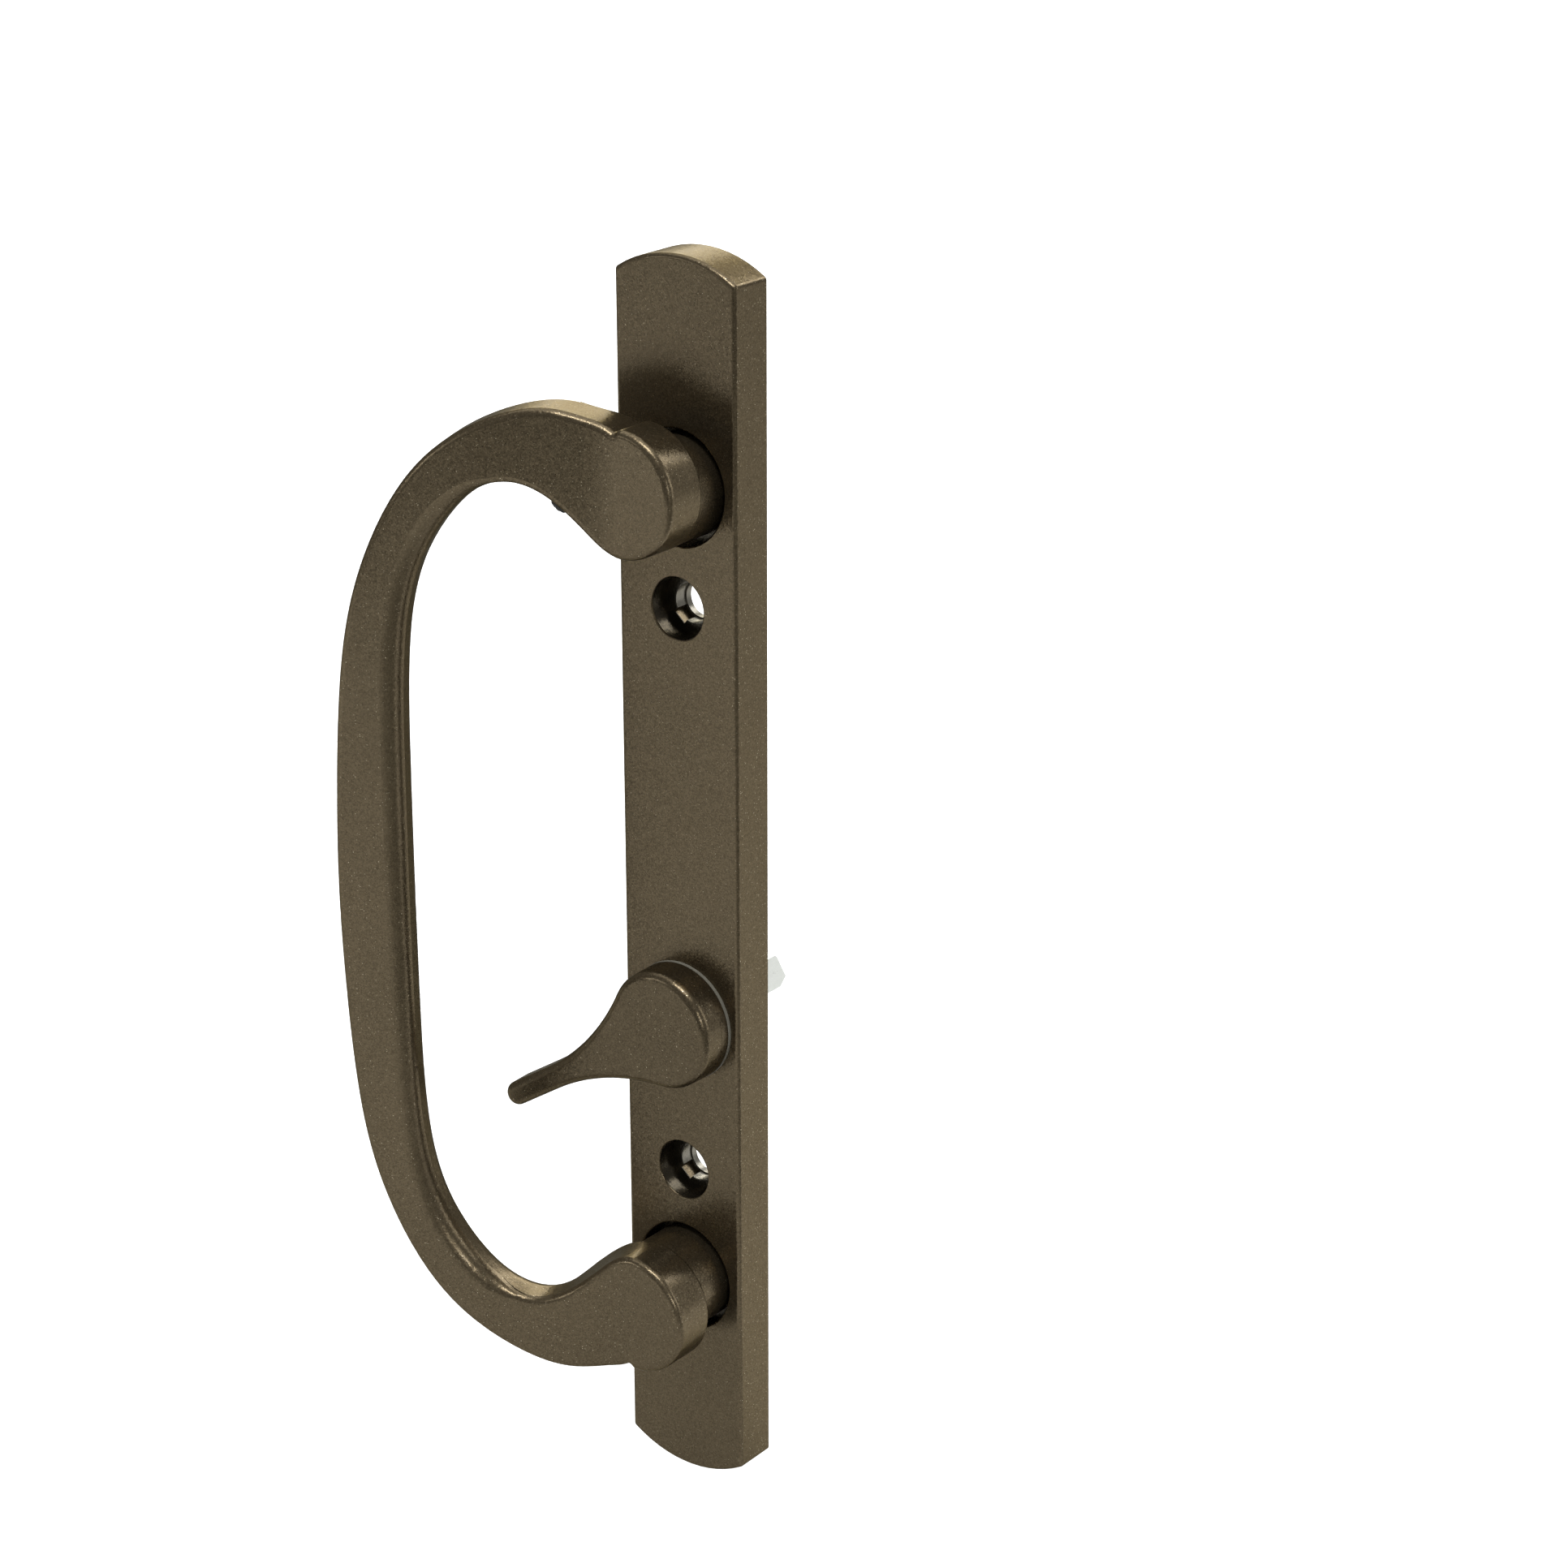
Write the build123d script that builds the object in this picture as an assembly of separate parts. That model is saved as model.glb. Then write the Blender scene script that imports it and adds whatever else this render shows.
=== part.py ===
from build123d import *
from math import atan2, cos, hypot, pi, radians, sin, sqrt
import os

# Inside pull of a sliding patio door: plate, D grip and thumb-turn.
# Millimetres. +X is to the right as the user faces the door, +Z is up, the room is towards -Y.
# The origin is midway between the two screw holes, on the plane of the door face.

# Plate, an open-backed casting
plate_width = 24.0
plate_length = 215.0
plate_depth = 8.0
plate_end_rise = 3.6
plate_corner_radius = 0.8
plate_edge_radius = 0.8
rim_wall = 0.95
front_skin = 1.7
tray_draft = 10.0
tray_corner_radius = 0.7
ejector_mark_radius = 2.1
ejector_mark_depth = 0.15
ejector_mark_x = 6.8
ejector_mark_from_end = 9.0
ejector_mark_margin = 0.4
rib_thickness = 1.3
rib_height = 1.5

# Screw holes that hold the plate to the door
screw_spacing = 100.0
screw_counterbore_radius = 5.25
screw_counterbore_depth = 3.9
screw_hole_radius = 3.35
screw_back_radius = 3.1
screw_back_step = 2.4
screw_boss_radius = 6.5
screw_boss_setback = 0.5
keyway_angle = 228.0
keyway_width = 2.6
keyway_reach = 3.95
keyway_depth = 2.4
rim_softening = 0.3

# Sockets in the plate for the two posts of the grip
post_from_screw = 20.1
socket_outer_radius = 9.65
socket_island_radius = 7.7
socket_depth = 3.0
socket_boss_radius = 11.2
socket_boss_setback = 3.6
grip_screw_pocket_radius = 6.8
grip_screw_hole_radius = 2.6

# Low bosses and the closed ring on the tray floor
ring_boss_radius = 8.15
ring_bore_radius = 5.4
ring_setback = 2.0
low_boss_radius = 3.75
low_boss_height = 1.4
low_boss_gap = 0.8

# Grip: a D-shaped slab that leans out of its two heads
grip_front = 22.1
grip_thickness = 8.0
grip_lean = 20.8
grip_bend_radius = 16.5
grip_bend_start = 0.3
grip_reach = 51.1
grip_overhang = 14.5
grip_apex = 11.6
leg_width = 11.7
arm_width = 12.4
finger_gap_apex = 19.8
head_radius = 10.5
head_centre_x = -0.3
head_offset = 1.8
cusp_run = 0.9
cusp_drop = 0.8
grip_front_edge_radius = 1.15
grip_cusp_radius = 0.8
grip_shoulder_radius = 1.3
leg_front_rounding = 3.3
front_rounding_full = 0.65
grip_back_rounding = 3.0
back_rounding_from = 6.8
back_rounding_full = 16.0
rounding_start = 0.08
rounding_crease = 5.0
rounding_steps = 26
grip_back_edge_radius = 0.6
post_radius = 8.6
post_skirt_wall = 0.85
post_skirt_gap = 0.4

# Screws that hold the grip to the plate
grip_screw_head_radius = 4.5
grip_screw_head_height = 3.0
grip_screw_shank_radius = 2.4
grip_screw_length = 13.5
grip_screw_point = 1.6
grip_screw_point_width = 1.28
grip_screw_dome_radius = 1.35
grip_screw_bore_over = 0.5
grip_screw_clearance = 0.03
cross_recess_width = 1.0
cross_recess_length = 5.0
cross_recess_depth = 1.8

# Thumb-turn
turn_z = -22.0
turn_rest_angle = 33.0
turn_boss_setback = 3.0
washer_radius = 10.4
washer_thickness = 0.62
running_gap = 0.04
hub_base_radius = 10.35
hub_front_radius = 10.2
hub_height = 5.9
lever_reach = 40.5
lever_thickness = 5.2
lever_half_width = 2.05
lever_straight = 0.71
lever_edge_radius = 1.5
shaft_end_setback = 0.6
groove_depth = 0.85
clip_thickness = 0.8
clip_radius = 7.3
clip_opening = 6.0
clip_from_boss = 0.75
disc_spring_radius = 6.9
disc_spring_sheet = 0.3
disc_spring_bore_gap = 0.15
disc_spring_seat_gap = 0.01

# Tailpiece that works the lock
tail_width = 6.4
tail_thickness = 1.6
tail_reach = 19.8
tail_slant = 2.8
tail_slot_depth = 7.4
tail_upper_corner = 1.0
tail_lower_corner = 1.5
tail_root_gap = 0.3
cross_pin_radius = 1.0
cross_pin_depth = 5.2
cross_pin_setback = 0.15
pin_clearance = 0.02
slot_clearance = 0.05

# Distance within which an edge counts as lying at a level or a radius
match = 0.01

post_spacing = screw_spacing + 2 * post_from_screw
post_z = post_spacing / 2
grip_height = post_spacing + 2 * grip_overhang
finger_gap_height = grip_height - 2 * arm_width
head_z = post_z + head_offset
floor_y = -(plate_depth - front_skin)
socket_floor_y = -(plate_depth - socket_depth)
shaft_radius = ring_bore_radius - running_gap
hub_back_y = -(plate_depth + washer_thickness + running_gap)
hub_front_y = hub_back_y - hub_height


def facing_room(y):
    """Sketch plane at depth y whose sketches are seen from the room, with +X right and +Z up."""
    return Plane(origin=(0, y, 0), x_dir=(1, 0, 0), z_dir=(0, -1, 0))


def disc(x, z, radius, y_back, y_front):
    return extrude(facing_room(y_back) * Pos(x, z) * Circle(radius), amount=y_back - y_front)


def block(x, z, width, height, y_back, y_front):
    return extrude(facing_room(y_back) * Pos(x, z) * Rectangle(width, height), amount=y_back - y_front)


def plate_face(inset, y):
    half = plate_width / 2 - inset
    corner = plate_length / 2 - plate_end_rise - inset
    top = plate_length / 2 - inset
    edges = [
        ThreePointArc((-half, corner), (0, top), (half, corner)),
        Line((half, corner), (half, -corner)),
        ThreePointArc((half, -corner), (0, -top), (-half, -corner)),
        Line((-half, -corner), (-half, corner)),
    ]
    return facing_room(y) * make_face(edges)


def plate_shell():
    shell = extrude(plate_face(0, 0), amount=plate_depth)
    corners = shell.edges().filter_by(Axis.Y)
    shell = fillet(corners, plate_corner_radius)
    shell = fillet(shell.edges().group_by(Axis.Y)[0], plate_edge_radius)
    tray = extrude(plate_face(rim_wall, 0), amount=-floor_y, taper=tray_draft)
    tray = fillet(tray.edges().group_by(Axis.Y)[0], tray_corner_radius)
    return shell - tray


def side_ribs(z, height):
    """A thin rib across the tray floor, kept inside the side walls."""
    span = plate_width - rim_wall
    return block(0, z, span, rib_thickness, floor_y + height, floor_y - front_skin / 2)


def tray_floor_details():
    upper_low_z = ring_boss_radius + low_boss_gap + low_boss_radius
    lower_low_z = turn_z - upper_low_z
    inside = floor_y - front_skin / 2
    details = disc(0, 0, ring_boss_radius, -ring_setback, inside)
    details += disc(0, turn_z, ring_boss_radius, -turn_boss_setback, inside)
    for z in (upper_low_z, lower_low_z):
        details += disc(0, z, low_boss_radius, floor_y + low_boss_height, inside)
        details += side_ribs(z, rib_height / 2)
    for side in (-1, 1):
        screw_z = side * screw_spacing / 2
        details += disc(0, screw_z, screw_boss_radius, -screw_boss_setback, inside)
        details += side_ribs(screw_z, rib_height)
        details += disc(0, side * post_z, socket_boss_radius, -socket_boss_setback, inside)
        link_z = (screw_z + side * post_z) / 2
        link = post_spacing / 2 - screw_spacing / 2
        details += block(0, link_z, rib_thickness, link, floor_y + 2 * rib_height, inside)
    return details


def post_socket(z):
    """Ring groove for the post's skirt, pocket for the screw head and the hole between them."""
    groove = disc(0, z, socket_outer_radius, socket_floor_y, -plate_depth - 1)
    groove -= disc(0, z, socket_island_radius, socket_floor_y, -plate_depth)
    pocket = disc(0, z, grip_screw_pocket_radius, 1, floor_y)
    hole = disc(0, z, grip_screw_hole_radius, floor_y + 1, -plate_depth - 1)
    return groove + pocket + hole


def plate_screw_hole(z):
    counterbore_y = -(plate_depth - screw_counterbore_depth)
    hole = disc(0, z, screw_counterbore_radius, counterbore_y, -plate_depth - 1)
    hole += disc(0, z, screw_hole_radius, counterbore_y + screw_back_step, counterbore_y - 1)
    hole += disc(0, z, screw_back_radius, 1, counterbore_y)
    keyway = Pos(keyway_reach / 2, 0) * Rectangle(keyway_reach, keyway_width)
    keyway = facing_room(counterbore_y + keyway_depth) * Pos(0, z) * Rot(0, 0, keyway_angle) * keyway
    return hole + extrude(keyway, amount=keyway_depth + 1)


def ejector_marks():
    marks = []
    mark_z = plate_length / 2 - ejector_mark_from_end
    ring_mark_x = (grip_screw_pocket_radius + socket_boss_radius) / 2
    ring_mark_radius = (socket_boss_radius - grip_screw_pocket_radius) / 2 - ejector_mark_margin
    for side in (-1, 1):
        for across in (-1, 1):
            marks.append(disc(across * ejector_mark_x, side * mark_z, ejector_mark_radius,
                              floor_y + 1, floor_y - ejector_mark_depth))
            marks.append(disc(across * ring_mark_x, side * post_z, ring_mark_radius,
                              -socket_boss_setback + 1, -socket_boss_setback - ejector_mark_depth))
    return marks


def recess_rims(plate):
    """Outer rims of the counterbores and of the post sockets on the front face."""
    recess_radii = (screw_counterbore_radius, socket_outer_radius)
    rims = plate.edges().filter_by(GeomType.CIRCLE).group_by(Axis.Y)[0]
    return rims.filter_by(lambda edge: min(abs(edge.radius - r) for r in recess_radii) < match)


def escutcheon_plate():
    plate = plate_shell() + tray_floor_details()
    plate -= disc(0, 0, ring_bore_radius, 1, floor_y)
    plate -= disc(0, turn_z, ring_bore_radius, 1, -plate_depth - 1)
    for side in (-1, 1):
        plate -= post_socket(side * post_z)
        plate -= plate_screw_hole(side * screw_spacing / 2)
    for mark in ejector_marks():
        plate -= mark
    return fillet(recess_rims(plate), rim_softening)


def grip_front_point(s):
    """Plan position and lean angle of the grip's front face, s millimetres along it from x = 0."""
    lean = radians(grip_lean)
    bend_length = grip_bend_radius * lean
    along = min(max(s - grip_bend_start, 0), bend_length)
    turned = along / grip_bend_radius
    x = -min(s, grip_bend_start) - grip_bend_radius * sin(turned)
    y = -grip_front - grip_bend_radius * (1 - cos(turned))
    beyond = max(s - grip_bend_start - bend_length, 0)
    return x - beyond * cos(lean), y - beyond * sin(lean), turned


def chord_angle():
    end_x, end_y, _ = grip_front_point(grip_reach)
    return atan2(-grip_front - end_y, -end_x)


def wall_point(s, z, behind):
    """Where the grip's wall through (s, z) crosses a plane behind the chord of its front face."""
    x, y, turned = grip_front_point(s)
    chord = chord_angle()
    distance = cos(chord) * (y + grip_front) - sin(chord) * x
    along = (behind - distance) / cos(chord - turned)
    return (x - along * sin(turned), y + along * cos(turned), z)


def outer_contour():
    """Upper half of the outer contour, from the cusp beside the head to the middle of the leg."""
    cusp_s = cusp_run - head_centre_x
    cusp_z = head_z + head_radius - cusp_drop
    apex_z = grip_height / 2
    rise = apex_z - cusp_z
    run = grip_apex - cusp_s
    arm = [(0, 0), (0.21, 0.37), (0.53, 0.66), (0.76, 0.88)]
    start = [(cusp_s + u * run, cusp_z + v * rise) for u, v in arm]
    span = grip_reach - grip_apex
    corner = [(0, 1), (0.27, 0.973), (0.55, 0.888), (0.77, 0.741)]
    corner += [(0.90, 0.575), (0.964, 0.38), (0.99, 0.19)]
    return start + [(grip_apex + u * span, v * apex_z) for u, v in corner]


def inner_contour():
    """Upper half of the inner contour, from the middle of the leg to the head's bottom."""
    head_bottom = head_z - head_radius
    top = finger_gap_height / 2
    span = grip_reach - leg_width - finger_gap_apex
    corner = [(0.995, 0.3), (0.965, 0.56), (0.86, 0.735), (0.719, 0.829)]
    corner += [(0.5, 0.915), (0.27, 0.972), (0, 1)]
    points = [(finger_gap_apex + u * span, v * top) for u, v in corner]
    rise = top - head_bottom
    run = finger_gap_apex + head_centre_x
    reversal = [(0.62, 0.8), (0.38, 0.42), (0.18, 0.09), (0.07, 0.014)]
    return points + [(-head_centre_x + u * run, head_bottom + v * rise) for u, v in reversal]


def grip_wire(behind):
    """Contour of the arms and the leg on a plane behind the chord, closed at the heads."""
    outer = outer_contour()
    outer += [(grip_reach, 0)] + [(s, -z) for s, z in reversed(outer)]
    head_bottom = (-head_centre_x, head_z - head_radius)
    inner = inner_contour() + [head_bottom]
    inner_leg = (grip_reach - leg_width, 0)
    inner = [(s, -z) for s, z in reversed(inner)] + [inner_leg] + inner
    outer_points = [wall_point(s, z, behind) for s, z in outer]
    inner_points = [wall_point(s, z, behind) for s, z in inner]
    head_top = head_z + head_radius
    upper_shoulder = wall_point(-head_centre_x, head_top, behind)
    lower_shoulder = wall_point(-head_centre_x, -head_top, behind)
    edges = [
        Line(upper_shoulder, outer_points[0]),
        Spline(*outer_points),
        Line(outer_points[-1], lower_shoulder),
        Line(lower_shoulder, inner_points[0]),
        Spline(*inner_points),
        Line(inner_points[-1], upper_shoulder),
    ]
    return Wire(edges)


def grip_band():
    """Plan section of the bent slab, run the full height of the grip."""
    inside = (1, -grip_front)
    bend_a = (-grip_bend_start, -grip_front)
    lean = radians(grip_lean)
    half_x, half_y, _ = grip_front_point(grip_bend_start + grip_bend_radius * lean / 2)
    bend_x, bend_y, _ = grip_front_point(grip_bend_start + grip_bend_radius * lean)
    end_x, end_y, _ = grip_front_point(grip_reach + 10)

    def behind(x, y, angle):
        return (x - grip_thickness * sin(angle), y + grip_thickness * cos(angle))

    front = [
        Line(inside, bend_a),
        ThreePointArc(bend_a, (half_x, half_y), (bend_x, bend_y)),
        Line((bend_x, bend_y), (end_x, end_y)),
    ]
    back = [
        Line(behind(end_x, end_y, lean), behind(bend_x, bend_y, lean)),
        ThreePointArc(behind(bend_x, bend_y, lean), behind(half_x, half_y, lean / 2), behind(*bend_a, 0)),
        Line(behind(*bend_a, 0), behind(*inside, 0)),
    ]
    ends = [Line((end_x, end_y), behind(end_x, end_y, lean)), Line(behind(*inside, 0), inside)]
    plan = make_face(front + ends[:1] + back + ends[1:])
    height = grip_height + 20
    return extrude(Pos(0, 0, -height / 2) * plan, amount=height)


def head(z):
    """Right half of a round head, from the plane where the arm starts."""
    whole = disc(head_centre_x, z, head_radius, grip_thickness - grip_front, -grip_front)
    width = head_radius + 1
    right = block(head_centre_x + width / 2, z, width, 2 * width, 0, -grip_front - 1)
    return whole & right


def depth_in_grip(point):
    """Distance of a point behind the bent front face of the grip."""
    lean = radians(grip_lean)
    bend_y = -grip_front - grip_bend_radius
    from_centre = hypot(point.X + grip_bend_start, point.Y - bend_y)
    turned = atan2(-point.X - grip_bend_start, point.Y - bend_y)
    if turned < 0:
        return point.Y + grip_front
    if turned > lean:
        return from_centre * cos(turned - lean) - grip_bend_radius
    return from_centre - grip_bend_radius


def rim_edges(slab, depth):
    """Edges that run round the slab at one depth, without the seams across its faces."""
    rim = slab.edges().filter_by(GeomType.LINE, reverse=True)
    return rim.filter_by(lambda edge: max(abs(depth_in_grip(edge @ t) - depth) for t in (0, 0.5, 1)) < match)


def corner_edges(slab, level):
    """The slab's two edges that run front to back at one height above and below the middle."""
    return slab.edges().filter_by(
        lambda edge: max(abs(abs((edge @ t).Z) - level) for t in (0, 1)) < match
        and abs((edge @ 0).Y - (edge @ 1).Y) > grip_thickness / 2
    )


def rounding_section(s, z, across, radius, depth):
    """What a rounding takes off the slab's edge at (s, z), as an outline; across points into the metal."""
    lean = radians(grip_lean)
    x, y, _ = grip_front_point(s)
    corner = (x - depth * sin(lean), y + depth * cos(lean), z)
    inward = Vector(-across.X * cos(lean), -across.X * sin(lean), across.Y)
    depthwise = Vector(-sin(lean), cos(lean), 0)
    if depth > 0:
        depthwise = -depthwise
    plane = Plane(origin=corner, x_dir=inward, z_dir=inward.cross(depthwise))
    crease = radians(rounding_crease)
    start = radius * (cos(crease) - sin(crease))
    middle = radius * (cos(crease) - sqrt(0.5))
    clear = 1.0
    over = start + clear * cos(crease)
    lift = -clear * sin(crease)
    edges = [
        Line((-clear, -clear), (over, lift)),
        Line((over, lift), (start, 0)),
        ThreePointArc((start, 0), (middle, middle), (0, start)),
        Line((0, start), (lift, over)),
        Line((lift, over), (-clear, -clear)),
    ]
    return Wire([plane * edge for edge in edges])


def edge_rounding(contour, side, depth, radius, start_s, full_s):
    """Cutter along an edge of the slab: no radius to speak of at start_s, all of it from full_s on."""
    sections = []
    for step in range(rounding_steps + 1):
        t = step / rounding_steps
        place = contour @ t
        along = contour % t
        grown = sin(pi / 2 * min((place.X - start_s) / (full_s - start_s), 1))
        local = radius * (rounding_start + (1 - rounding_start) * max(grown, 0))
        across = Vector(-along.Y, along.X) * side
        sections.append(rounding_section(place.X, place.Y, across, local, depth))
    return Solid.make_loft(sections)


def mirrored_contour(upper, leg_s):
    """Contour from the upper arm down the leg to the lower arm, through the leg's middle at leg_s."""
    lower = [(s, -z) for s, z in reversed(upper)]
    return Spline(*upper, (leg_s, 0), *lower)


def grip_roundings():
    """Roundings that grow out of the arms: inner front edge, then both edges at the back."""
    inner = [point for point in reversed(inner_contour()) if point[0] > back_rounding_from]
    outer = [point for point in outer_contour() if point[0] > back_rounding_from]
    inner_leg = grip_reach - leg_width
    inner_back = mirrored_contour(inner, inner_leg)
    outer_back = mirrored_contour(outer, grip_reach)
    past_apex = [point for point in inner if point[0] >= finger_gap_apex]
    inner_front = mirrored_contour(past_apex, inner_leg)
    front_full = finger_gap_apex + (inner_leg - finger_gap_apex) * front_rounding_full
    back = (grip_thickness, grip_back_rounding, back_rounding_from, back_rounding_full)
    return [
        edge_rounding(inner_front, 1, 0, leg_front_rounding, finger_gap_apex, front_full),
        edge_rounding(inner_back, 1, *back),
        edge_rounding(outer_back, -1, *back),
    ]


def grip_slab():
    behind_all = grip_thickness + 3
    before_all = -2
    walls = Solid.make_loft([grip_wire(behind_all), grip_wire(before_all)], ruled=True)
    slab = (grip_band() & walls) + head(head_z) + head(-head_z)
    head_top = head_z + head_radius
    slab = fillet(corner_edges(slab, head_top - cusp_drop), grip_cusp_radius)
    slab = fillet(corner_edges(slab, head_top), grip_shoulder_radius)
    slab = fillet(rim_edges(slab, 0), grip_front_edge_radius)
    slab = fillet(rim_edges(slab, grip_thickness), grip_back_edge_radius)
    for cutter in grip_roundings():
        slab -= cutter
    return slab


def post(z):
    back_y = -plate_depth
    body = disc(0, z, post_radius, back_y, -grip_front + grip_thickness - 1)
    skirt_y = socket_floor_y - post_skirt_gap
    skirt = disc(0, z, post_radius, skirt_y, back_y)
    skirt -= disc(0, z, post_radius - post_skirt_wall, skirt_y, back_y)
    return body + skirt


def pull_handle():
    handle = grip_slab()
    for side in (-1, 1):
        handle += post(side * post_z)
        bore_end = floor_y - grip_screw_length - grip_screw_bore_over
        bore_radius = grip_screw_shank_radius + grip_screw_clearance
        handle -= disc(0, side * post_z, bore_radius, 0, bore_end)
    return handle


def grip_screw(z):
    head_back = floor_y + grip_screw_head_height
    head = disc(0, z, grip_screw_head_radius, head_back, floor_y)
    head = fillet(head.edges().group_by(Axis.Y)[-1], grip_screw_dome_radius)
    tip_y = floor_y - grip_screw_length
    shank = disc(0, z, grip_screw_shank_radius, floor_y, tip_y)
    shank = chamfer(shank.edges().group_by(Axis.Y)[0], length=grip_screw_point, length2=grip_screw_point_width)
    screw = head + shank
    recess_floor = head_back - cross_recess_depth
    screw -= block(0, z, cross_recess_width, cross_recess_length, head_back + 1, recess_floor)
    return screw - block(0, z, cross_recess_length, cross_recess_width, head_back + 1, recess_floor)


def thumb_turn_washer():
    back_y = -plate_depth
    front_y = back_y - washer_thickness
    washer = disc(0, turn_z, washer_radius, back_y, front_y)
    return washer - disc(0, turn_z, ring_bore_radius, back_y, front_y)


def lever_wire(y, spread):
    """Lever outline about the pivot with the blade pointing along -X, grown by spread."""
    hub = hub_front_radius + spread
    half = lever_half_width + spread
    straight = lever_straight * lever_reach
    flank = (straight ** 2 + half ** 2 - hub ** 2) / (2 * (hub - half))
    centre = Vector(-straight, half + flank)
    on_hub = centre * (hub / (hub + flank))
    towards = (on_hub - centre).normalized() + Vector(0, -1)
    mid_flank = centre + towards.normalized() * flank
    tip_x = lever_half_width - lever_reach
    upper = [on_hub, mid_flank, Vector(-straight, half), Vector(tip_x, half)]
    lower = [Vector(point.X, -point.Y) for point in upper]
    edges = [
        ThreePointArc(upper[0], upper[1], upper[2]),
        Line(upper[2], upper[3]),
        ThreePointArc(upper[3], (tip_x - half, 0), lower[3]),
        Line(lower[3], lower[2]),
        ThreePointArc(lower[2], lower[1], lower[0]),
        ThreePointArc(lower[0], (hub, 0), upper[0]),
    ]
    return Wire([facing_room(y) * edge for edge in edges])


def lever_body():
    """Hub and blade cast as one, every wall drafted towards the room."""
    blade_back = hub_front_y + lever_thickness
    spread = hub_base_radius - hub_front_radius
    body = Solid.make_loft([lever_wire(blade_back, spread), lever_wire(hub_front_y, 0)], ruled=True)
    body = fillet(body.edges().group_by(Axis.Y)[0], lever_edge_radius)
    return body + disc(0, 0, hub_base_radius, hub_back_y, blade_back - 1)


def thumb_turn_lever():
    lever = Rot(0, -turn_rest_angle, 0) * lever_body()
    shaft_end = -shaft_end_setback
    lever += disc(0, 0, shaft_radius, shaft_end, hub_back_y - 1)
    groove_front = -turn_boss_setback + clip_from_boss - running_gap / 2
    groove_back = groove_front + clip_thickness + running_gap
    groove = disc(0, 0, shaft_radius + 1, groove_back, groove_front)
    groove -= disc(0, 0, shaft_radius - groove_depth, groove_back, groove_front)
    lever -= groove
    slot_width = tail_thickness + 2 * slot_clearance
    slot_height = tail_width + 2 * slot_clearance
    lever -= block(0, 0, slot_width, slot_height, 1, shaft_end - tail_slot_depth)
    lever -= cross_pin_rod(cross_pin_radius + pin_clearance, 2 * shaft_radius + 2)
    return Pos(0, 0, turn_z) * lever


def cross_pin_rod(radius, length):
    return Pos(0, -cross_pin_depth, 0) * Rot(0, 90, 0) * Cylinder(radius, length)


def cross_pin():
    length = 2 * (sqrt(shaft_radius ** 2 - cross_pin_radius ** 2) - cross_pin_setback)
    return Pos(0, 0, turn_z) * cross_pin_rod(cross_pin_radius, length)


def tailpiece():
    root_y = -(shaft_end_setback + tail_slot_depth - tail_root_gap)
    half = tail_width / 2
    profile = Polyline(
        (root_y, -half),
        (tail_reach - tail_lower_corner, -half),
        (tail_reach, -half + tail_lower_corner),
        (tail_reach - tail_slant, half),
        (root_y, half),
        close=True,
    )
    side = Plane(origin=(-tail_thickness / 2, 0, 0), x_dir=(0, 1, 0), z_dir=(1, 0, 0))
    blade = extrude(side * make_face(profile), amount=tail_thickness)
    upper_edges = blade.edges().filter_by(Axis.X).sort_by(Axis.Z)[-2:]
    blade = fillet(upper_edges.sort_by(Axis.Y)[-1], tail_upper_corner)
    blade -= cross_pin_rod(cross_pin_radius + pin_clearance, 4 * tail_thickness)
    return Pos(0, 0, turn_z) * blade


def retaining_clip():
    front = -turn_boss_setback + clip_from_boss
    back = front + clip_thickness
    inner = shaft_radius - groove_depth + running_gap / 2
    ring = disc(0, 0, clip_radius, back, front) - disc(0, 0, inner, back, front)
    ring -= block(0, -clip_radius, clip_opening, 2 * clip_radius, back, front)
    return Pos(0, 0, turn_z) * ring


def disc_spring():
    """Shallow cone whose outer edge bears on the boss and whose inner edge bears on the clip."""
    boss_y = -turn_boss_setback
    clip_y = boss_y + clip_from_boss
    inner = shaft_radius + disc_spring_bore_gap
    gap = disc_spring_seat_gap
    profile = Polyline(
        (disc_spring_radius, boss_y + gap),
        (disc_spring_radius, boss_y + gap + disc_spring_sheet),
        (inner, clip_y - gap),
        (inner, clip_y - gap - disc_spring_sheet),
        close=True,
    )
    return Pos(0, 0, turn_z) * revolve(make_face(profile), Axis.Y)


os.makedirs("parts", exist_ok=True)
export_step(escutcheon_plate(), "parts/escutcheon_plate.step")
export_step(pull_handle(), "parts/pull_handle.step")
export_step(grip_screw(post_z), "parts/grip_screw_upper.step")
export_step(grip_screw(-post_z), "parts/grip_screw_lower.step")
export_step(thumb_turn_washer(), "parts/thumb_turn_washer.step")
export_step(thumb_turn_lever(), "parts/thumb_turn_lever.step")
export_step(tailpiece(), "parts/tailpiece.step")
export_step(cross_pin(), "parts/cross_pin.step")
export_step(retaining_clip(), "parts/retaining_clip.step")
export_step(disc_spring(), "parts/disc_spring.step")
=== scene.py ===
import bmesh
import bpy
from mathutils import Matrix, Vector, noise


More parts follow.
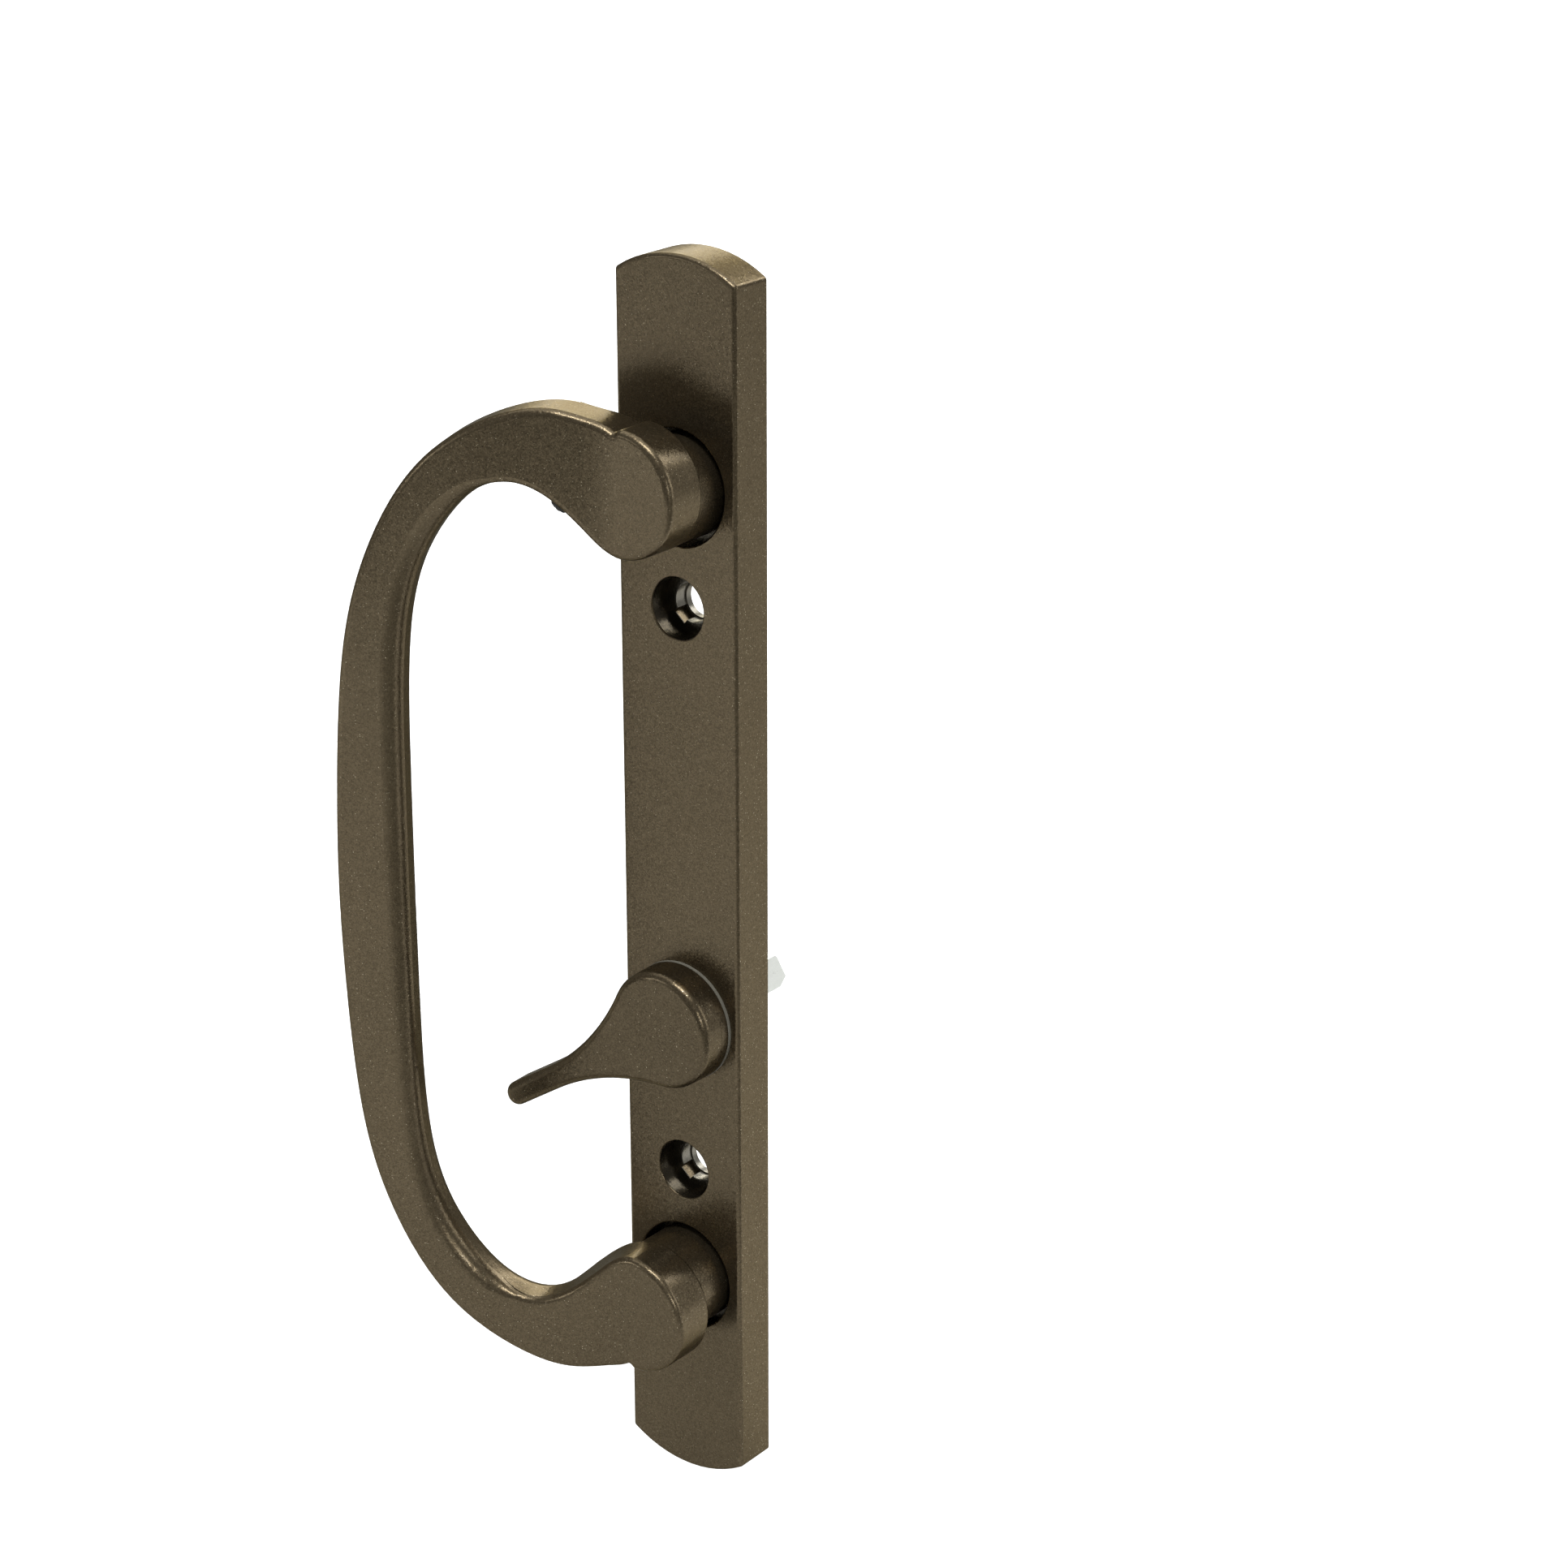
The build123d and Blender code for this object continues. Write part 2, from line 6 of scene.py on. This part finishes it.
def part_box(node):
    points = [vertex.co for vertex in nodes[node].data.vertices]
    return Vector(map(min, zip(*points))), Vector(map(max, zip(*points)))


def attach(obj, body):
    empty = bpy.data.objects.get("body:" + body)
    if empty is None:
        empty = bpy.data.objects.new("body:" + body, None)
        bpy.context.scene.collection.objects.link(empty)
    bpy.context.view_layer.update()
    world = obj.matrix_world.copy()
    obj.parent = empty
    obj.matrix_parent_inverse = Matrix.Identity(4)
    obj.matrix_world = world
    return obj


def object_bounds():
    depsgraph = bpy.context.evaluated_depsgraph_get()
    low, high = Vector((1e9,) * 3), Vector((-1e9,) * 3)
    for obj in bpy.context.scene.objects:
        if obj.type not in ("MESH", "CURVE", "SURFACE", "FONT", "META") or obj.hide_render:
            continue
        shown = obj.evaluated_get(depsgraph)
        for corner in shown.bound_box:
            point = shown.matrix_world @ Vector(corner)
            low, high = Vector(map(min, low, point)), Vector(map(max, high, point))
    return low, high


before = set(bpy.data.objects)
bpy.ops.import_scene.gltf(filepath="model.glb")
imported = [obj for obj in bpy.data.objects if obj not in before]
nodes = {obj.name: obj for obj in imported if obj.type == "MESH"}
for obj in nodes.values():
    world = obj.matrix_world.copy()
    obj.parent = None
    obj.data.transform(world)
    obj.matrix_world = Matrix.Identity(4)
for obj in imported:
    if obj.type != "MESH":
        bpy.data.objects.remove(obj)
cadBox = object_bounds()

millimetre = 0.001
print("frame loaded:", len(nodes), "nodes")


# small helpers for materials

# a socket is linked, anything else becomes the default value
def feed(tree, value, socket):
    if isinstance(value, bpy.types.NodeSocket):
        tree.links.new(value, socket)
    else:
        socket.default_value = value


def newMaterial(name):
    material = bpy.data.materials.new(name)
    material.use_nodes = True
    tree = material.node_tree
    tree.nodes.clear()
    output = tree.nodes.new("ShaderNodeOutputMaterial")
    shader = tree.nodes.new("ShaderNodeBsdfPrincipled")
    tree.links.new(shader.outputs["BSDF"], output.inputs["Surface"])
    return material, tree, shader


# inputs and outputs are rows of name and socket type
def newGroup(name, inputs, outputs):
    group = bpy.data.node_groups.new(name, "ShaderNodeTree")
    for direction, rows in (("INPUT", inputs), ("OUTPUT", outputs)):
        for rowName, socketType in rows:
            group.interface.new_socket(rowName, in_out=direction, socket_type=socketType)
    return group, group.nodes.new("NodeGroupInput").outputs, group.nodes.new("NodeGroupOutput").inputs


def placeGroup(tree, group, vector, values):
    node = tree.nodes.new("ShaderNodeGroup")
    node.node_tree = group
    tree.links.new(vector, node.inputs["Vector"])
    for name, value in values.items():
        node.inputs[name].default_value = value
    return node.outputs


def objectVector(tree):
    return tree.nodes.new("ShaderNodeTexCoord").outputs["Object"]


def addMath(tree, operation, *values):
    node = tree.nodes.new("ShaderNodeMath")
    node.operation = operation
    for value, socket in zip(values, node.inputs):
        feed(tree, value, socket)
    return node.outputs[0]


def multiplyAll(tree, factors):
    result = factors[0]
    for factor in factors[1:]:
        result = addMath(tree, "MULTIPLY", result, factor)
    return result


def addVectorMath(tree, operation, first, second=None):
    node = tree.nodes.new("ShaderNodeVectorMath")
    node.operation = operation
    feed(tree, first, node.inputs[0])
    if second is not None:
        feed(tree, second, node.inputs["Scale" if operation == "SCALE" else 1])
    return node.outputs


def addRange(tree, value, low, high, toLow=0.0, toHigh=1.0):
    node = tree.nodes.new("ShaderNodeMapRange")
    node.interpolation_type = "SMOOTHSTEP"
    feed(tree, value, node.inputs["Value"])
    feed(tree, low, node.inputs["From Min"])
    feed(tree, high, node.inputs["From Max"])
    feed(tree, toLow, node.inputs["To Min"])
    feed(tree, toHigh, node.inputs["To Max"])
    return node.outputs["Result"]


# a mix node keeps its colours in sockets 6 and 7 and its values in 2 and 3
def mixColour(tree, factor, first, second):
    node = tree.nodes.new("ShaderNodeMix")
    node.data_type = "RGBA"
    for value, socket in ((factor, 0), (first, 6), (second, 7)):
        feed(tree, value, node.inputs[socket])
    return node.outputs[2]


def mixValue(tree, factor, first, second):
    node = tree.nodes.new("ShaderNodeMix")
    for value, socket in ((factor, 0), (first, 2), (second, 3)):
        feed(tree, value, node.inputs[socket])
    return node.outputs[0]


def addNoise(tree, vector, scale, detail=2.0, roughness=0.5):
    node = tree.nodes.new("ShaderNodeTexNoise")
    feed(tree, vector, node.inputs["Vector"])
    feed(tree, scale, node.inputs["Scale"])
    node.inputs["Detail"].default_value = detail
    node.inputs["Roughness"].default_value = roughness
    return node.outputs["Fac"]


def addVoronoi(tree, vector, scale):
    node = tree.nodes.new("ShaderNodeTexVoronoi")
    feed(tree, vector, node.inputs["Vector"])
    feed(tree, scale, node.inputs["Scale"])
    return node.outputs


# bump holds a strength and a distance in metres
def addBump(tree, shader, height, bump, normal=None):
    node = tree.nodes.new("ShaderNodeBump")
    node.inputs["Strength"].default_value, node.inputs["Distance"].default_value = bump
    tree.links.new(height, node.inputs["Height"])
    if normal:
        tree.links.new(normal, node.inputs["Normal"])
    tree.links.new(node.outputs["Normal"], shader.inputs["Normal"])


# shared effects

flakeCore = (0.15, 0.5)         # a bright flake fades out between these shares of its cell
mottleDetail = 3.0
recessFade = (0.0002, 0.0003)   # metres over which a recess fades in at its wall and its front


def floatRows(*names):
    return [(name, "NodeSocketFloat") for name in names]


# metal flakes in paint: a fine grain, a few bright flakes, and a slightly tilted normal for each
def buildFlakeGroup():
    group, given, result = newGroup(
        "metalFlakes",
        [("Vector", "NodeSocketVector")] + floatRows("Fine Scale", "Coarse Scale", "Share", "Tilt"),
        floatRows("Grain", "Sparkle") + [("Normal", "NodeSocketVector")])
    fine = addVoronoi(group, given["Vector"], given["Fine Scale"])
    coarse = addVoronoi(group, given["Vector"], given["Coarse Scale"])
    grain = group.nodes.new("ShaderNodeSeparateColor")
    group.links.new(fine["Color"], grain.inputs["Color"])
    pick = group.nodes.new("ShaderNodeSeparateColor")
    group.links.new(coarse["Color"], pick.inputs["Color"])
    chosen = addMath(group, "LESS_THAN", pick.outputs[0], given["Share"])
    core = addRange(group, coarse["Distance"], *flakeCore, 1.0, 0.0)
    strength = multiplyAll(group, [chosen, core, pick.outputs[1]])
    group.links.new(grain.outputs[0], result["Grain"])
    group.links.new(strength, result["Sparkle"])
    # each flake lies a little off the surface, by its cell's colour less the middle grey
    centred = addVectorMath(group, "SUBTRACT", fine["Color"], (0.5, 0.5, 0.5))
    scaled = addVectorMath(group, "SCALE", centred[0], given["Tilt"])
    geometry = group.nodes.new("ShaderNodeNewGeometry")
    tilted = addVectorMath(group, "ADD", geometry.outputs["Normal"], scaled[0])
    group.links.new(addVectorMath(group, "NORMALIZE", tilted[0])[0], result["Normal"])
    return group


# slow and fast cloudiness of a sprayed or plated coat, from 0 to 1 round 0.5
def buildMottleGroup():
    group, given, result = newGroup(
        "coatMottle",
        [("Vector", "NodeSocketVector")] + floatRows("Broad", "Close", "Balance"),
        floatRows("Mottle"))
    broad = addNoise(group, given["Vector"], given["Broad"], mottleDetail)
    close = addNoise(group, given["Vector"], given["Close"], mottleDetail)
    group.links.new(mixValue(group, given["Balance"], broad, close), result["Mottle"])
    return group


# 1 inside a round recess along y, at a height z, from its front to its back
def buildRecessGroup():
    group, given, result = newGroup(
        "recessMask",
        [("Vector", "NodeSocketVector")] + floatRows("Height", "Radius", "Front", "Back"),
        floatRows("Mask"))
    split = group.nodes.new("ShaderNodeSeparateXYZ")
    group.links.new(given["Vector"], split.inputs[0])
    across, deep = split.outputs["X"], split.outputs["Y"]
    up = addMath(group, "SUBTRACT", split.outputs["Z"], given["Height"])
    squares = addMath(group, "ADD", addMath(group, "MULTIPLY", across, across),
                      addMath(group, "MULTIPLY", up, up))
    atWall, atFront = recessFade
    outer = addMath(group, "ADD", given["Radius"], atWall)
    within = addRange(group, addMath(group, "SQRT", squares), given["Radius"], outer, 1.0, 0.0)
    deeper = addMath(group, "ADD", given["Front"], atFront)
    behind = addMath(group, "ADD", given["Back"], atWall)
    group.links.new(multiplyAll(group, [
        addRange(group, deep, given["Front"], deeper),
        addRange(group, deep, given["Back"], behind, 1.0, 0.0),
        within]), result["Mask"])
    return group


metalFlakes = buildFlakeGroup()
coatMottle = buildMottleGroup()
recessMask = buildRecessGroup()


# bronze paint

bronze = {
    "dark": (0.058, 0.0437, 0.0252),
    "light": (0.148, 0.1172, 0.0725),
    "sparkle": (0.48, 0.42, 0.30, 1.0),
    "edge": (0.42, 0.39, 0.32, 1.0),       # what is left of the gloss at a grazing angle
    "metallic": 0.85,
    "roughness": (0.2, 0.8, 0.26, 0.32),   # the mottle's range, then the roughness
    "coat": 0.05,
    "coatRoughness": 0.15,
    "flakes": {"Fine Scale": 5200.0, "Coarse Scale": 4600.0, "Share": 0.045, "Tilt": 0.11},
    "mottle": {"Broad": 45.0, "Close": 1500.0, "Balance": 0.5},
    "grain": 0.55,                         # share of the lighter colour
    "cloud": (0.25, 0.75, 0.10, 0.32),     # the mottle's range, then that share
    "peelScale": 420.0,
    "orangePeel": (0.5, 0.00002),
    "recess": (0.036, 0.032, 0.024, 1.0),  # painted shade: near black in the counterbores and the seats round the posts
    "recessRoughness": 0.26,
    # painted reflection: the bores are painted pale grey, for the pale floor they mirror
    "paintedBoreReflection": (0.17, 0.16, 0.135, 1.0),
}
# factors that scale each casting's paint colours
paintTone = {"plate": 0.93, "pull": 0.96, "lever": 0.84}

screwHeight = 0.050
postHeight = (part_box("grip_screw_upper")[0].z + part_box("grip_screw_upper")[1].z) / 2
# height, radius, front and back of each recess of the plate
# the counterbores and post seats carry painted shade in the plate's paint
counterbores = [(side * screwHeight, 0.00518, -0.00785, -0.0040) for side in (1, -1)]
# the bores carry a painted reflection, pale grey in the plate's paint
bores = [(side * screwHeight, 0.00345, -0.00425, 0.0010) for side in (1, -1)]
postSeats = [(side * postHeight, 0.00955, -0.00785, -0.0048) for side in (1, -1)]


def recessCover(tree, vector, recesses):
    cover = 0.0
    for recess in recesses:
        values = dict(zip(("Height", "Radius", "Front", "Back"), recess))
        mask = placeGroup(tree, recessMask, vector, values)["Mask"]
        cover = addMath(tree, "MAXIMUM", cover, mask)
    return cover


def bronzePaint(name, tone, recesses=(), paintedReflectionBores=()):
    material, tree, shader = newMaterial(name)
    vector = objectVector(tree)
    flakes = placeGroup(tree, metalFlakes, vector, bronze["flakes"])
    mottle = placeGroup(tree, coatMottle, vector, bronze["mottle"])["Mottle"]
    grain = addMath(tree, "MULTIPLY", flakes["Grain"], bronze["grain"])
    cloud = addRange(tree, mottle, *bronze["cloud"])
    dark, light = ([part * tone for part in bronze[key]] + [1.0] for key in ("dark", "light"))
    body = mixColour(tree, addMath(tree, "ADD", grain, cloud), dark, light)
    colour = mixColour(tree, flakes["Sparkle"], body, bronze["sparkle"])
    rough = addRange(tree, mottle, *bronze["roughness"])
    # painted shade: the counterbores and post seats turn near black
    if recesses:
        cover = recessCover(tree, vector, recesses)
        colour = mixColour(tree, cover, colour, bronze["recess"])
        rough = mixValue(tree, cover, rough, bronze["recessRoughness"])
    # painted reflection: the bores turn pale grey
    if paintedReflectionBores:
        colour = mixColour(tree, recessCover(tree, vector, paintedReflectionBores), colour, bronze["paintedBoreReflection"])
    tree.links.new(colour, shader.inputs["Base Color"])
    tree.links.new(rough, shader.inputs["Roughness"])
    addBump(tree, shader, addNoise(tree, vector, bronze["peelScale"]), bronze["orangePeel"],
            flakes["Normal"])
    shader.inputs["Metallic"].default_value = bronze["metallic"]
    shader.inputs["Specular Tint"].default_value = bronze["edge"]
    shader.inputs["Coat Weight"].default_value = bronze["coat"]
    shader.inputs["Coat Roughness"].default_value = bronze["coatRoughness"]
    return material


# dull skin of one mottle between two colours, for the washer and the flash; the flash's near-black
# colours are painted shade

washerLook = {
    "low": (0.118, 0.113, 0.092, 1.0),
    "high": (0.165, 0.158, 0.130, 1.0),
    "mottle": {"Broad": 150.0, "Close": 1800.0, "Balance": 0.5},
    "roughness": (0.2, 0.8, 0.42, 0.55),
    "noise": (2500.0, 2.0),                # scale and detail of the bump
    "bump": (0.3, 0.00002),
}


def mottledSkin(name, look):
    material, tree, shader = newMaterial(name)
    vector = objectVector(tree)
    mottle = placeGroup(tree, coatMottle, vector, look["mottle"])["Mottle"]
    tree.links.new(mixColour(tree, mottle, look["low"], look["high"]), shader.inputs["Base Color"])
    tree.links.new(addRange(tree, mottle, *look["roughness"]), shader.inputs["Roughness"])
    addBump(tree, shader, addNoise(tree, vector, *look["noise"]), look["bump"])
    return material


# zinc plated steel

zinc = {
    "low": (0.50, 0.51, 0.50, 1.0),
    "high": (0.76, 0.78, 0.75, 1.0),
    "metallic": 0.85,
    "roughness": (0.3, 0.7, 0.26, 0.42),
    "lines": (900.0, 4.0, 0.6),            # scale, detail and roughness of the drawn lines
    "lineShare": 0.6,
    "mottle": {"Broad": 220.0, "Close": 1600.0, "Balance": 0.4},
    "mottleShare": 0.4,
    "bump": (0.35, 0.00002),
}
# the tailpiece is greyer and duller than the rest
tailZinc = {**zinc, "low": (0.46, 0.475, 0.45, 1.0), "high": (0.64, 0.66, 0.625, 1.0),
            "metallic": 0.6}


# grainStretch squeezes the pattern across the way the metal was drawn or sheared
def zincSteel(name, grainStretch, look=zinc):
    material, tree, shader = newMaterial(name)
    vector = objectVector(tree)
    mapping = tree.nodes.new("ShaderNodeMapping")
    mapping.inputs["Scale"].default_value = grainStretch
    tree.links.new(vector, mapping.inputs["Vector"])
    lines = addNoise(tree, mapping.outputs["Vector"], *look["lines"])
    mottle = placeGroup(tree, coatMottle, vector, look["mottle"])["Mottle"]
    blend = addMath(tree, "MULTIPLY_ADD", lines, look["lineShare"],
                    addMath(tree, "MULTIPLY", mottle, look["mottleShare"]))
    tree.links.new(mixColour(tree, blend, look["low"], look["high"]), shader.inputs["Base Color"])
    tree.links.new(addRange(tree, blend, *look["roughness"]), shader.inputs["Roughness"])
    addBump(tree, shader, lines, look["bump"])
    shader.inputs["Metallic"].default_value = look["metallic"]
    return material


screwZinc = zincSteel("screwZinc", (1.0, 0.3, 1.0))
dressing = {
    "escutcheon_plate": bronzePaint("platePaint", paintTone["plate"],
                                    counterbores + postSeats, bores),
    "pull_handle": bronzePaint("pullPaint", paintTone["pull"]),
    "thumb_turn_lever": bronzePaint("leverPaint", paintTone["lever"]),
    "thumb_turn_washer": mottledSkin("washerPlastic", washerLook),
    "grip_screw_upper": screwZinc,
    "grip_screw_lower": screwZinc,
    "cross_pin": zincSteel("pinZinc", (0.2, 1.0, 1.0)),
    "retaining_clip": zincSteel("clipZinc", (1.0, 1.0, 1.0)),
    "disc_spring": zincSteel("springZinc", (1.0, 1.0, 1.0)),
    "tailpiece": zincSteel("tailpieceZinc", (1.0, 0.15, 1.0), tailZinc),
}
for nodeName, material in dressing.items():
    for slot in nodes[nodeName].material_slots:
        slot.material = material
print("materials on", len(dressing), "nodes")


# a ragged flake of casting flash under the upper arm, coloured near black as painted shade

flash = {
    "near": (-11.6, -23.0, 68.3),          # millimetres, just off the arm's lower wall
    "along": (0.718, 0.273, -0.642),       # the way that wall runs
    "size": (3.3, 2.0, 2.0),               # length, depth and height, of which half is buried
    "fineness": 4,
    "ragged": 0.10,
    "raggedScale": 2200.0,
    # near-black colours: painted shade under the arm
    "low": (0.004, 0.004, 0.003, 1.0),
    "high": (0.014, 0.013, 0.010, 1.0),
    "mottle": {"Broad": 900.0, "Close": 4000.0, "Balance": 0.5},
    "roughness": (0.3, 0.7, 0.60, 0.80),
    "noise": (3000.0, 3.0),
    "bump": (0.6, 0.00006),
}


def buildFlash():
    near = Vector(flash["near"]) * millimetre
    seat, outward = nodes["pull_handle"].closest_point_on_mesh(near)[1:3]
    along = Vector(flash["along"])
    along = (along - outward * along.dot(outward)).normalized()
    turn = Matrix((along, outward.cross(along), outward)).transposed()
    shape = bmesh.new()
    bmesh.ops.create_icosphere(shape, subdivisions=flash["fineness"], radius=0.5)
    bmesh.ops.scale(shape, verts=shape.verts, vec=Vector(flash["size"]) * millimetre)
    for vert in shape.verts:
        rough = noise.noise_vector(vert.co * flash["raggedScale"])
        vert.co += rough * flash["ragged"] * millimetre
    bmesh.ops.rotate(shape, verts=shape.verts, cent=(0.0, 0.0, 0.0), matrix=turn)
    bmesh.ops.translate(shape, verts=shape.verts, vec=seat)
    mesh = bpy.data.meshes.new("castingFlash")
    shape.to_mesh(mesh)
    shape.free()
    mesh.shade_smooth()
    mesh.materials.append(mottledSkin("flashPaintedShade", flash))
    piece = bpy.data.objects.new("castingFlash", mesh)
    bpy.context.scene.collection.objects.link(piece)
    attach(piece, "pull")


buildFlash()
print("casting flash in place")


# floor, light and camera

# The camera sees even pale paper. Other rays see painted light in two patches, in front and behind,
# and painted shade elsewhere.
# Each pair is where a patch fades, in metres. frontLeft has its own brightness at both ends.
# A gain is the brightness near, the brightness far and the distance of far.
paper = {
    "drop": 0.014,
    "size": 12.0,
    "pale": (0.90, 0.90, 0.90, 1.0),
    # painted shade that the metal mirrors outside the patches
    "shade": (0.16, 0.16, 0.15, 1.0),
    "roughness": 0.9,
    "specular": 0.1,
    "frontBack": (-0.02, 0.04),
    "frontRight": (0.06, 0.20),
    "frontLeft": (-0.28, -0.04, 0.80, 1.0),
    "frontSlant": 0.6,
    "frontFar": (-0.72, -0.50),
    "frontGain": (0.50, 0.84, 0.60),
    "behindFront": (0.0, 0.04),
    "behindSlant": 0.25,
    "behindLeft": (-0.06, 0.0),
    "behindGain": (1.00, 0.62, 0.60),
}


def paperLight(tree):
    vector = objectVector(tree)
    split = tree.nodes.new("ShaderNodeSeparateXYZ")
    tree.links.new(vector, split.inputs[0])
    across, along = split.outputs["X"], split.outputs["Y"]
    away = addVectorMath(tree, "LENGTH", vector)["Value"]

    def slanted(value, other, slope):
        return addMath(tree, "SUBTRACT", value, addMath(tree, "MULTIPLY", other, slope))

    def gain(key):
        near, far, reach = paper[key]
        return addRange(tree, away, 0.0, reach, near, far)

    front = multiplyAll(tree, [
        addRange(tree, along, *paper["frontBack"], 1.0, 0.0),
        addRange(tree, across, *paper["frontRight"], 1.0, 0.0),
        addRange(tree, across, *paper["frontLeft"]),
        addRange(tree, slanted(along, across, paper["frontSlant"]), *paper["frontFar"]),
        gain("frontGain")])
    behind = multiplyAll(tree, [
        addRange(tree, along, *paper["behindFront"]),
        addRange(tree, slanted(across, along, paper["behindSlant"]), *paper["behindLeft"]),
        gain("behindGain")])
    return addMath(tree, "ADD", front, behind)


def buildFloor():
    mesh = bpy.data.meshes.new("studioFloor")
    shape = bmesh.new()
    bmesh.ops.create_grid(shape, x_segments=1, y_segments=1, size=paper["size"] / 2)
    bmesh.ops.translate(shape, verts=shape.verts, vec=(0.0, 0.0, cadBox[0].z - paper["drop"]))
    shape.to_mesh(mesh)
    shape.free()
    floor = bpy.data.objects.new("studioFloor", mesh)
    bpy.context.scene.collection.objects.link(floor)
    material, tree, shader = newMaterial("floorPaper")
    # painted light and painted shade: only camera rays see the paper evenly pale
    seen = tree.nodes.new("ShaderNodeLightPath").outputs["Is Camera Ray"]
    bright = addMath(tree, "MAXIMUM", paperLight(tree), seen)
    tree.links.new(mixColour(tree, bright, paper["shade"], paper["pale"]), shader.inputs["Base Color"])
    shader.inputs["Roughness"].default_value = paper["roughness"]
    shader.inputs["Specular IOR Level"].default_value = paper["specular"]
    mesh.materials.append(material)


studio = {
    "worldColour": (1.0, 1.0, 1.0, 1.0),
    "worldStrength": 0.36,
    "lights": [
        # name, place, aim, size, watts
        ("overheadPanel", (-0.60, 0.85, 2.30), (-0.60, 0.85, 0.0), (3.0, 3.0), 46.0),
        ("rearLeftSoftbox", (-0.80, 1.36, 0.68), (0.0, 0.0, 0.0), (1.3, 0.55), 16.0),
        ("rearHighSoftbox", (0.30, 1.30, 1.00), (0.0, 0.0, 0.0), (0.9, 0.55), 10.0),
        ("rightSoftbox", (1.10, 0.50, 0.45), (0.0, 0.0, 0.0), (0.5, 0.8), 3.5),
        ("keySoftbox", (0.18, -0.42, 1.10), (0.0, 0.0, 0.0), (0.50, 0.25), 9.0),
        ("rightBounce", (0.50, -0.38, 0.16), (0.50, -0.38, -0.12), (0.14, 0.14), 2.2),
        ("leftBounce", (-0.50, -0.66, 0.24), (-0.50, -0.66, -0.12), (0.26, 0.20), 2.0),
    ],
}


def buildLights():
    world = bpy.data.worlds.new("studioWorld")
    world.use_nodes = True
    background = world.node_tree.nodes["Background"]
    background.inputs["Color"].default_value = studio["worldColour"]
    background.inputs["Strength"].default_value = studio["worldStrength"]
    bpy.context.scene.world = world
    for name, place, aim, size, watts in studio["lights"]:
        data = bpy.data.lights.new(name, "AREA")
        data.shape = "RECTANGLE"
        data.size, data.size_y = size
        data.energy = watts
        light = bpy.data.objects.new(name, data)
        bpy.context.scene.collection.objects.link(light)
        light.location = place
        light.rotation_mode = "QUATERNION"
        light.rotation_quaternion = (Vector(aim) - Vector(place)).to_track_quat("-Z", "Y")


cameraFit = {
    "lens": 83.26,
    "sensor": 36.0,
    "clip": (0.01, 50.0),
    "place": (345.7, -438.0, 230.5),      # millimetres
    "right": (0.7984, 0.6022, 0.0),
    "up": (-0.2147, 0.2847, 0.9343),
    "back": (0.5626, -0.7459, 0.3566),
}


def buildCamera():
    data = bpy.data.cameras.new("photoCamera")
    data.lens = cameraFit["lens"]
    data.sensor_width = cameraFit["sensor"]
    data.clip_start, data.clip_end = cameraFit["clip"]
    camera = bpy.data.objects.new("photoCamera", data)
    bpy.context.scene.collection.objects.link(camera)
    turn = Matrix((cameraFit["right"], cameraFit["up"], cameraFit["back"])).transposed()
    place = Vector(cameraFit["place"]) * millimetre
    camera.matrix_world = Matrix.Translation(place) @ turn.to_4x4()
    bpy.context.scene.camera = camera


buildFloor()
buildLights()
buildCamera()
bpy.context.scene.view_settings.view_transform = "Standard"
print("floor, lights and camera ready")
